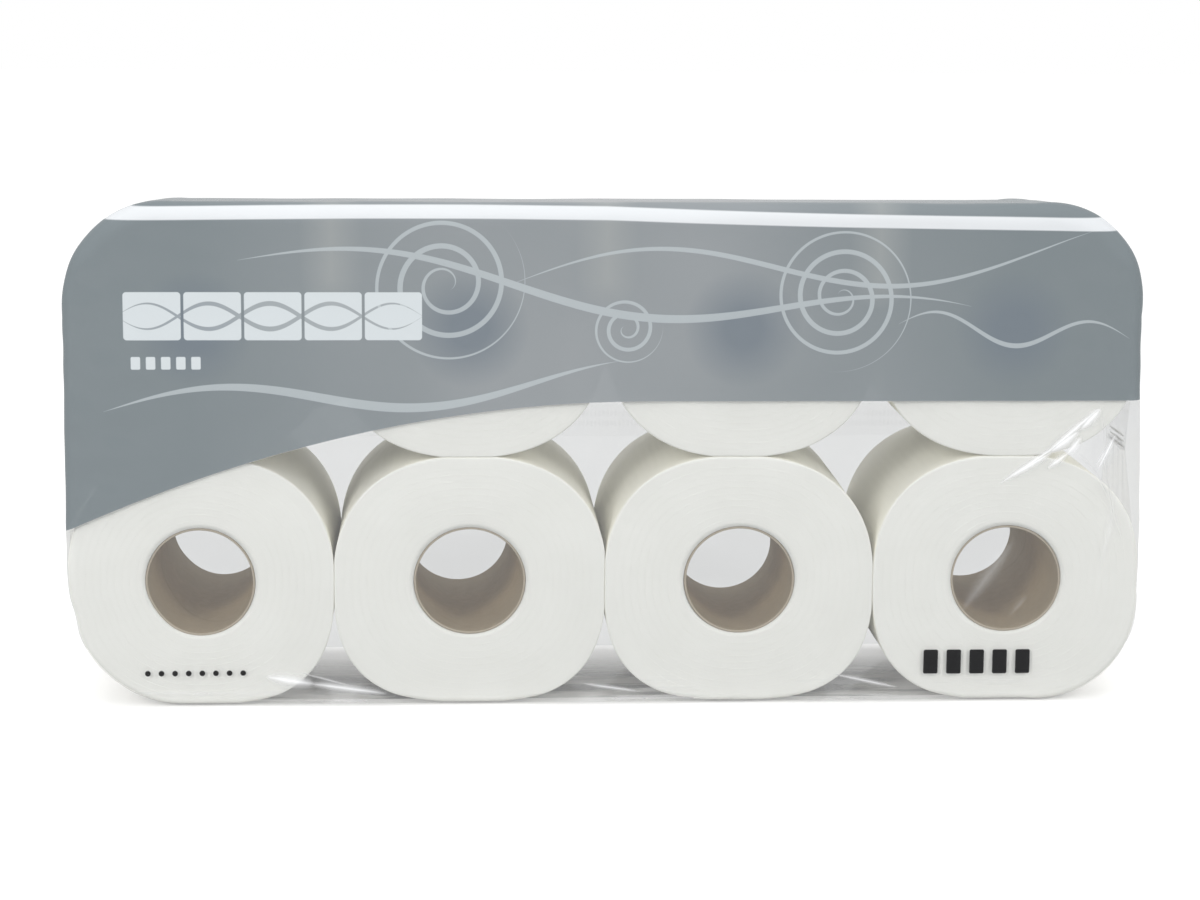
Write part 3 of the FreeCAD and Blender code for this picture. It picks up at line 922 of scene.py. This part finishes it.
spiral_group, sizes = new_group(
    "paper_spiral",
    ("X", "Z", "Centre X", "Centre Z", "Inner", "Pitch", "Turns", "Start Turn", "Way", "Line"),
)
off_x = sizes["X"] - sizes["Centre X"]
off_z = sizes["Z"] - sizes["Centre Z"]
radius = (off_x * off_x + off_z * off_z).root()
turned_by = (off_z.worked("ARCTAN2", off_x) * sizes["Way"]).scaled(1 / (2 * math.pi), sizes["Start Turn"])
grown = (radius - sizes["Inner"]) / sizes["Pitch"]
phase = grown - turned_by
miss = abs(phase - phase.rounded()) * sizes["Pitch"]
share = grown / sizes["Turns"]
line = soft_step(miss, sizes["Line"] * tapered(share), SOFT_EDGE)
add(spiral_group, "NodeGroupOutput", [line * soft_step(abs(share - 0.5), 0.5, 0.02)])

wave_group, sizes = new_group(
    "wave_line", ("X", "Z", "Start", "Length", "Height", "Rise", "Swing", "Waves", "Line")
)
share = (sizes["X"] - sizes["Start"]) / sizes["Length"]
curve = share.scaled(sizes["Rise"], sizes["Height"])
curve = (share * sizes["Waves"] * (2 * math.pi)).sine().scaled(sizes["Swing"], curve)
taper = tapered(share)
line = soft_step(abs(sizes["Z"] - curve), sizes["Line"] * taper, SOFT_EDGE)
add(wave_group, "NodeGroupOutput", [line * (taper > 0.001)])

crease_group, sizes = new_group("crease_line", ("X", "Z", "From X", "From Z", "To X", "To Z", "Width"))
along_x = sizes["To X"] - sizes["From X"]
along_z = sizes["To Z"] - sizes["From Z"]
off_x = sizes["X"] - sizes["From X"]
off_z = sizes["Z"] - sizes["From Z"]
share = off_x.scaled(along_x, off_z * along_z) / along_x.scaled(along_x, along_z * along_z)
share = share.clamped()
miss_x = off_x - share * along_x
miss_z = off_z - share * along_z
miss = miss_x.scaled(miss_x, miss_z * miss_z).root()
taper = tapered(share).root()
fall = (miss / sizes["Width"].scaled(taper, 0.05 * MM) * -1.0).worked("EXPONENT")
add(crease_group, "NodeGroupOutput", [fall * taper])


def use_group(group, x, z, *values):
    """Places a node group with its values in order."""
    return output(x.tree, "ShaderNodeGroup", [x, z, *values], node_tree=group)


# Rows of numbers in millimetres. A spiral: middle, inner radius, pitch, turns, start, way, line.
SPIRALS = (
    (-66, 176, 3, 9.5, 3.2, 0.1, 1, 1.1),
    (96, 171, 2, 8.0, 3.6, 0.35, -1, 1.0),
    (8, 158, 1.5, 5.2, 2.6, 0.6, 1, 0.8),
)
# A wave: start, length, height, rise, swing, waves, line.
WAVES = (
    (-150, 300, 186, -26, 9, 1.35, 1.7),
    (-40, 240, 176, 16, 11, 1.1, 1.1),
    (-205, 210, 124, 14, 7, 1.2, 1.9),
    (120, 96, 160, -6, 6, 1.5, 1.0),
)
# The quilting lines pressed across the strip of sheets.
QUILTING = (
    (-199, 124, 163.2, 0, 5.2, 2.5, 1.0),
    (-199, 124, 163.2, 0, -5.2, 2.5, 1.0),
)
# A white crease, partly film whitened by the fold and partly a painted highlight: from, to, width, strength.
LOW_CREASES = (
    (-141, 12.8, -119.5, 9.4, 2.3, 1.0),
    (-124, 10.0, -90, 5.2, 1.5, 0.95),
    (-128, 15, -96, 6, 0.5, 0.6),
    (-10, 9.2, 16, 5.2, 0.7, 0.8),
    (96, 12.5, 124, 6.2, 0.8, 0.8),
)
END_CREASES = (
    (207, 127, 179, 102.5, 1.3, 1.0),
    (190, 111, 163.5, 93, 1.1, 1.0),
    (205.5, 125, 196.8, 115.6, 2.0, 1.0),
    (196.8, 115.6, 184, 106.0, 2.2, 1.0),
    (187, 107.5, 165.5, 94.3, 1.6, 0.95),
    (197.6, 112.9, 191.5, 105.3, 1.8, 0.9),
    (192.5, 106.5, 183.6, 99.6, 1.4, 0.9),
    (212.2, 114.6, 204.6, 98.8, 0.8, 0.85),
    (209.5, 110, 203.5, 100, 0.6, 0.6),
)
# A soft painted sheen, where the film lies a little off the rolls: from, to, width, strength.
SHEENS = (
    (172, 71, 148, 37, 4.4, 0.3),
    (178, 47, 169, 36, 2.5, 0.22),
    (214, 96, 207, 52, 3.0, 0.3),
)
# A grey crease: painted shade where the film bends away and what is behind it would show darker.
SHADED_CREASES = (
    (206, 124, 207.2, 108, 0.9, 0.4),
    (207.2, 110, 208.8, 94, 0.8, 0.4),
    (208.8, 96, 213.2, 74.5, 0.9, 0.4),
    (196, 106.5, 205.2, 97, 0.9, 0.4),
    (204.6, 97.6, 211, 85, 1.0, 0.4),
    (210.5, 86, 216.2, 70, 0.9, 0.35),
)
BAND_TOP = 207.8 * MM
BAND_FOOT = 202.5 * MM
BAND_FALL = 0.0235
BAND_SWAY = 0.5 * MM
BAND_WAVES = 21.0
RIM_DEPTH = 41 * MM
SPLIT_GAP = 4 * MM
END_START = 131 * MM
STREAKS_UNDER = 11 * MM
STREAKS_FADE = 14 * MM
UNDERSIDE_TOP = 2.5 * MM
FRONT_HALF = 14 * MM
FRONT_FADE = 36 * MM
# Rows of like marks: start, pitch, count, height, half width, half height, rounding.
MARK_ROWS = {
    "sheets": (-184.6, 24.4, 5, 163.2, 11.6, 9.8, 1.4),
    "small sheets": (-191.5, 6.1, 5, 144, 1.9, 2.6, 0.6),
    "dots": (-189, 5.6, 8, 14.4, 1.2, 1.2, 1.2),
    "blocks": (137, 9.7, 5, 17.4, 3.1, 5.2, 0.8),
}
# Painted shade where the dark cores lie behind the print, and painted light between them; both end in a
# softness.
HOLLOW_SHADE_ROW = (-168 * MM, 112 * MM, 4, 158 * MM, 16 * MM, 16 * MM, 16 * MM, 17 * MM)
GAP_LIGHT_ROW = (-112 * MM, 112 * MM, 3, 196 * MM, 5 * MM, 22 * MM, 5 * MM, 16 * MM)


def any_of(masks):
    """The strongest of several masks."""
    strongest = masks[0]
    for mask in masks[1:]:
        strongest = strongest.at_least(mask)
    return strongest


def crease_marks(x, z, creases):
    """Every crease of a list as one mask."""
    masks = []
    for *ends, width, strength in creases:
        lengths = [v * MM for v in (*ends, width)]
        masks.append(use_group(crease_group, x, z, *lengths) * strength)
    return any_of(masks)


def rows_of_marks(x, z, names):
    """The named rows of marks as one mask."""
    masks = []
    for name in names:
        start, pitch, count, *rest = MARK_ROWS[name]
        spans = (start * MM, pitch * MM, count, *[v * MM for v in rest])
        masks.append(use_group(marks_group, x, z, *spans, SOFT_EDGE))
    return any_of(masks)


def wave_marks(x, z, waves):
    """Wavy lines as one mask."""
    masks = []
    for start, length, foot, rise, swing, count, line in waves:
        lengths = [v * MM for v in (start, length, foot, rise, swing)]
        masks.append(use_group(wave_group, x, z, *lengths, count, line * MM))
    return any_of(masks)


areas_group, sizes = new_group("print_areas", ("X", "Y", "Z"), ("Printed", "Edge Highlight", "Lift"))
swoop = (PRINT_TURN - sizes["X"]).at_least(0.0)
print_edge = PRINT_FOOT - swoop * swoop * PRINT_SWOOP
printed = 1.0 - soft_step(sizes["Z"], print_edge, PRINT_SOFTNESS)
# Painted highlight: a wavy stripe along the top edge, on the faces near the front and back.
sway = (sizes["X"] * BAND_WAVES).sine()
height = sway.scaled(BAND_SWAY, sizes["Z"] + sizes["X"].at_least(0.0) * BAND_FALL)
edge_highlight = soft_step(height, BAND_TOP, BAND_SOFTNESS) * (1.0 - soft_step(height, BAND_FOOT, BAND_SOFTNESS))
near_face = abs(sizes["Y"]) > RIM_DEPTH
# Painted sheen: the ink is lighter towards the middle of the pack.
painted_sheen = abs(sizes["X"]).scaled(-6.5, 1.1).clamped()
add(areas_group, "NodeGroupOutput", [printed, edge_highlight * near_face, painted_sheen])


def print_areas(x, y, z):
    """Where the print is, its painted highlight stripe along the top edge and its painted sheen, a lighter
    middle.
    """
    return outputs(x.tree, "ShaderNodeGroup", [x, y, z], node_tree=areas_group)


def film_start(name):
    """A new film material with its place on the pack."""
    material, tree = new_material(name)
    place = add(tree, "ShaderNodeTexCoord").outputs["Object"]
    return material, tree, place, *outputs(tree, "ShaderNodeSeparateXYZ", [place])


def film_skin(tree, place, colour, cover, relief=None, head_on=GLOSS_HEAD_ON):
    """Finishes a film material: a thin coloured layer under a mirror gloss that rises at a glance."""
    wrinkle = noise(tree, place, WRINKLE_SCALE, 1.0)
    if relief is not None:
        wrinkle = wrinkle + relief
    normal = bump(tree, 0.25, WRINKLE_DEPTH, wrinkle)
    layer = output(tree, "ShaderNodeBsdfPrincipled", {
        "Base Color": colour,
        "Roughness": 0.5,
        "Specular IOR Level": 0.0,
        "Alpha": cover,
        "Normal": normal,
    })
    gloss = output(tree, "ShaderNodeBsdfGlossy", {"Roughness": FILM_ROUGHNESS, "Normal": normal})
    facing_away = add(tree, "ShaderNodeLayerWeight", {"Blend": 0.5, "Normal": normal}).outputs["Facing"]
    mirror = (Output(tree, facing_away) ** 5.0).scaled(GLOSS_RISE, head_on)
    skin = output(tree, "ShaderNodeMixShader", [mirror, layer, gloss])
    add(tree, "ShaderNodeOutputMaterial", [skin])


printed_front, tree, place, x, y, z = film_start("printed_front_film")
printed, edge_highlight, painted_sheen = print_areas(x, y, z)
facing = y < -RIM_DEPTH
motifs = [wave_marks(x, z, WAVES)]
for *lengths, turns, start_turn, way, line in SPIRALS:
    lengths = [v * MM for v in lengths]
    motifs.append(use_group(spiral_group, x, z, *lengths, turns, start_turn, way, line * MM))
sheets = rows_of_marks(x, z, ("sheets", "small sheets")) * facing
quilting = wave_marks(x, z, QUILTING) * QUILTING_SHARE
cloud = noise(tree, place, 14.0, 1.0)
# Painted sheen: lighter ink over the middle, broken up by a cloud.
ink = blend(painted_sheen * cloud.scaled(1.2, 0.2), INK, INK_SHEEN)
# Painted shade over the hollow cores, then painted light between the rolls.
ink = blend(use_group(marks_group, x, z, *HOLLOW_SHADE_ROW) * HOLLOW_SHADE_SHARE, ink, INK_HOLLOW_SHADE)
ink = blend(use_group(marks_group, x, z, *GAP_LIGHT_ROW) * GAP_LIGHT_SHARE, ink, INK_GAP_LIGHT)
ink = blend(any_of(motifs) * facing * MOTIF_SHARE, ink, INK_PALE)
ink = blend(sheets * (1.0 - quilting), ink, INK_WHITE)
# Painted highlight stripe along the top edge.
ink = blend(edge_highlight, ink, BAND_HIGHLIGHT)
colour = blend(printed, HAZE, ink)
film_skin(tree, place, colour, printed.scaled(INK_COVER - CLEAR_COVER, CLEAR_COVER))


def clear_film(name, marks, creases, shaded_creases=()):
    """The clear part of the front: black marks, white creases and streaks drawn along its foot, the white
    partly whitened film and partly painted highlight, and grey creases of painted shade.
    """
    material, tree, place, x, y, z = film_start(name)
    facing = y < -RIM_DEPTH
    black = rows_of_marks(x, z, (marks,)) * facing
    drawn = drawn_noise(tree, place, (22, 60, 260), 2.0)
    low = soft_step(z, STREAKS_UNDER, STREAKS_FADE)
    streaks = drawn.ranged(0.5, 0.75) * (low * 0.5)
    # White creases and foot streaks: partly whitened film, partly painted highlight.
    crease = crease_marks(x, z, creases).at_least(streaks) * facing
    colour = HAZE
    cover = (black * MARK_COVER).at_least(CLEAR_COVER)
    if shaded_creases:
        # Painted shade along the grey creases.
        grey = crease_marks(x, z, shaded_creases) * facing
        colour = blend(grey, HAZE, CREASE_SHADE)
        cover = cover.at_least(grey)
    colour = blend(crease, colour, CREASE_WHITENING_AND_GLINT)
    colour = blend(black, colour, INK_BLACK)
    film_skin(tree, place, colour, cover.at_least(crease * CREASE_COVER), drawn * (low * 2.0))
    return material


clear_front = clear_film("clear_front_film", "dots", LOW_CREASES)
creased_end = clear_film("creased_end_film", "blocks", END_CREASES + SHEENS, SHADED_CREASES)

body_film, tree, place, x, y, z = film_start("printed_body_film")
printed, edge_highlight, painted_sheen = print_areas(x, y, z)
# Painted sheen in the ink, under the painted highlight stripe.
ink = blend(edge_highlight, blend(painted_sheen, INK, INK_SHEEN), BAND_HIGHLIGHT)
# Painted reflections and shade: streaks in the gathered underside film.
streaks = drawn_noise(tree, place, (11, 70, 40), 3.0, turn=0.08, distortion=0.9).ranged(0.43, 0.57)
underside = (z < UNDERSIDE_TOP) * soft_step(y, FRONT_HALF, FRONT_FADE)
colour = blend(underside, HAZE, blend(streaks, STREAK_SHADE, STREAK_GLINT))
cover = underside.scaled(UNDER_COVER, CLEAR_COVER).at_least(printed * INK_COVER)
film_skin(tree, place, blend(printed, colour, ink), cover)

film_wrap = new_object("film_wrap_skin", settled(film_points), film_faces, printed_front)
film_wrap.data.materials.append(clear_front)
film_wrap.data.materials.append(body_film)
film_wrap.data.materials.append(creased_end)
middles = film_points[[face[0] for face in film_faces]]
swoop_line = PRINT_FOOT - PRINT_SWOOP * np.maximum(PRINT_TURN - middles[:, 0], 0) ** 2
clear_number = np.where(middles[:, 0] > END_START, 3, 1)
finish_number = np.where(middles[:, 2] > swoop_line - SPLIT_GAP, 0, clear_number)
finish_number = np.where(middles[:, 1] > -RIM_DEPTH, 2, finish_number)
film_wrap.data.polygons.foreach_set("material_index", finish_number.astype(np.int32))
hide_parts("film_wrap")
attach(film_wrap, "root")

# Each end is closed like a parcel: the lower flap folds up, the upper one folds down over it,
# and three crimped lines weld them. A lap seam with two fine crimps runs along the back.
FLAP_ROOT_HALF = 42 * MM
FLAP_TIP_HALF = 17 * MM
FLAP_ROOT = 57 * MM
FLAP_TIP = {-1: -1 * MM, 1: 4 * MM}
FOLD_SHEET = 0.22 * MM
FLAP_PUFF = 0.3 * MM
FLAP_LIE = 224.8 * MM
FLAP_LIFT = {-1: 0.1 * MM, 1: 0.4 * MM}
SEAM_HALF_LENGTH = 216 * MM
SEAM_HALF_HEIGHT = 8 * MM
SEAM_OUT = 50.75 * MM
RIB_FACES = (6, 5)
CRIMP_LINES = 3
CRIMP_OUT = 225.2 * MM
CRIMP_DROP = 2.5 * MM
CRIMP_STEP = 2.4 * MM
CRIMP_SIZE = (0.3 * MM, 15.0 * MM, 0.6 * MM)
SEAM_RIBS = 240
SEAM_RIB_START = -215 * MM
SEAM_RIB_STEP = 1.8 * MM
SEAM_RIB_ROW = 2.2 * MM
SEAM_RIB_SIZE = (0.75 * MM, 0.22 * MM, 1.5 * MM)


def folded_film(name, clear_cover):
    """The wrap's film where it is folded or welded, printed above the same edge."""
    material, tree, place, x, y, z = film_start(name)
    printed, _, painted_sheen = print_areas(x, y, z)
    # Painted sheen: lighter ink over the middle.
    colour = blend(printed, HAZE, blend(painted_sheen, INK, INK_SHEEN))
    cover = printed.scaled(INK_COVER - clear_cover, clear_cover)
    film_skin(tree, place, colour, cover, head_on=FOLD_GLOSS)
    return material


fold_film = folded_film("fold_film", FOLD_COVER)
weld_film = folded_film("milky_weld_film", WELD_COVER)


def slab(outer, inward):
    """Points and faces of a thin closed sheet from a grid of outer points."""
    rows, columns = outer.shape[:2]
    behind = rows * columns
    points = np.concatenate([outer.reshape(-1, 3), (outer + inward).reshape(-1, 3)])
    faces = grid_faces(rows, columns)
    faces = faces + [tuple(behind + corner for corner in reversed(face)) for face in faces]
    edge = border_of(rows, columns)
    for here, after in zip(edge, np.roll(edge, -1)):
        faces.append((after, here, behind + here, behind + after))
    first_out = np.cross(outer[0, 1] - outer[0, 0], outer[1, 0] - outer[0, 0])
    step = -1 if np.dot(first_out, inward) > 0 else 1
    return points, [tuple(int(spot) for spot in face[::step]) for face in faces]


def end_flap(side, way):
    """One end flap: side is 1 for the right end, way is 1 for the flap that comes down from the top."""
    across, along = np.meshgrid(np.linspace(-1, 1, 33), np.linspace(0, 1, 31))
    half_width = FLAP_ROOT_HALF + (FLAP_TIP_HALF - FLAP_ROOT_HALF) * along
    y = across * half_width
    z = FILM_HALF_HEIGHT + way * (FLAP_ROOT - (FLAP_ROOT + FLAP_TIP[way]) * along)
    z = z + ripples(y, 0, 41 + way, 22 * MM) * 0.5 * MM * along
    puff = FLAP_PUFF * np.sin(math.pi * along) * (1 - across**2)
    pull = ripples(y * 1.3, z * 0.3, 43 + way + side, 11 * MM) * 0.1 * MM * (0.3 + along)
    off_end = eased(along / 0.35) * (1 - across**8)
    x = side * (FLAP_LIE + (FLAP_LIFT[way] + puff + pull) * off_end)
    return slab(np.stack([x, y, z], axis=2), np.array([-side * FOLD_SHEET, 0, 0]))


def back_seam():
    """The lap along the back, lying a little unevenly."""
    along, upward = np.meshgrid(np.linspace(-1, 1, 221), np.linspace(-1, 1, 13))
    x = along * SEAM_HALF_LENGTH
    z = FILM_HALF_HEIGHT + upward * SEAM_HALF_HEIGHT + ripples(x, 0, 51, 80 * MM) * 0.5 * MM
    y = SEAM_OUT + ripples(x, z, 52, 24 * MM) * 0.12 * MM
    return slab(np.stack([x, y, z], axis=2), np.array([0, -FOLD_SHEET, 0]))


def rib_tree():
    """Geometry Nodes that lay a row of crimp ribs along a weld."""
    tree, sizes = geometry_tree("weld_ribs", (
        ("Sheet", "Geometry"), ("Count", "Int"), ("Start", "Vector"), ("Step", "Vector"),
        ("Rib Size", "Vector"), ("Film", "Material"), ("Weld", "Material"),
    ))
    spacing = {"Count": sizes["Count"], "Start Location": sizes["Start"], "Offset": sizes["Step"]}
    row = output(tree, "GeometryNodeMeshLine", spacing, mode="OFFSET")
    segments, rings = RIB_FACES
    bead = output(tree, "GeometryNodeMeshUVSphere", {"Segments": segments, "Rings": rings, "Radius": 1.0})
    marked = {"Geometry": bead, "Name": "weld", "Value": True}
    bead = output(tree, "GeometryNodeStoreNamedAttribute", marked, data_type="BOOLEAN", domain="FACE")
    jitter = outputs(tree, "FunctionNodeRandomValue", {2: 0.85, 3: 1.1, "Seed": 3}, data_type="FLOAT")[1]
    size = output(tree, "ShaderNodeVectorMath", {0: sizes["Rib Size"], "Scale": jitter}, operation="SCALE")
    ribs = output(tree, "GeometryNodeInstanceOnPoints", {"Points": row, "Instance": bead, "Scale": size})
    whole = join_parts(tree, [sizes["Sheet"], ribs])
    filmed = output(tree, "GeometryNodeSetMaterial", {"Geometry": whole, "Material": sizes["Film"]})
    on_weld = output(tree, "GeometryNodeInputNamedAttribute", {"Name": "weld"}, data_type="BOOLEAN")
    weld = {"Geometry": filmed, "Selection": on_weld, "Material": sizes["Weld"]}
    add(tree, "NodeGroupOutput", [output(tree, "GeometryNodeSetMaterial", weld)])
    return tree


weld_ribs = rib_tree()
folds = []
for side, word in ((-1, "left"), (1, "right")):
    lower_points, lower_faces = end_flap(side, -1)
    upper_points, upper_faces = end_flap(side, 1)
    both_points = np.concatenate([lower_points, upper_points])
    both_faces = lower_faces + [tuple(spot + len(lower_points) for spot in face) for face in upper_faces]
    flaps = new_object(f"film_end_{word}", both_points, both_faces, fold_film)
    settle(flaps, weld_ribs, {
        "Count": CRIMP_LINES,
        "Start": (side * CRIMP_OUT, 0, FILM_HALF_HEIGHT - CRIMP_DROP),
        "Step": (0, 0, CRIMP_STEP),
        "Rib Size": CRIMP_SIZE,
        "Film": fold_film,
        "Weld": weld_film,
    })
    folds.append(flaps)
seam_points, seam_faces = back_seam()
seam = new_object("film_back_seam", seam_points, seam_faces, fold_film)
for row in (-1, 1):
    settle(seam, weld_ribs, {
        "Count": SEAM_RIBS,
        "Start": (SEAM_RIB_START, SEAM_OUT, FILM_HALF_HEIGHT + row * SEAM_RIB_ROW),
        "Step": (SEAM_RIB_STEP, 0, 0),
        "Rib Size": SEAM_RIB_SIZE,
        "Film": fold_film,
        "Weld": fold_film,
    })
folds.append(seam)
for fold in folds:
    place_points(fold.data, settled(mesh_points(fold.data)))
    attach(fold, "root")
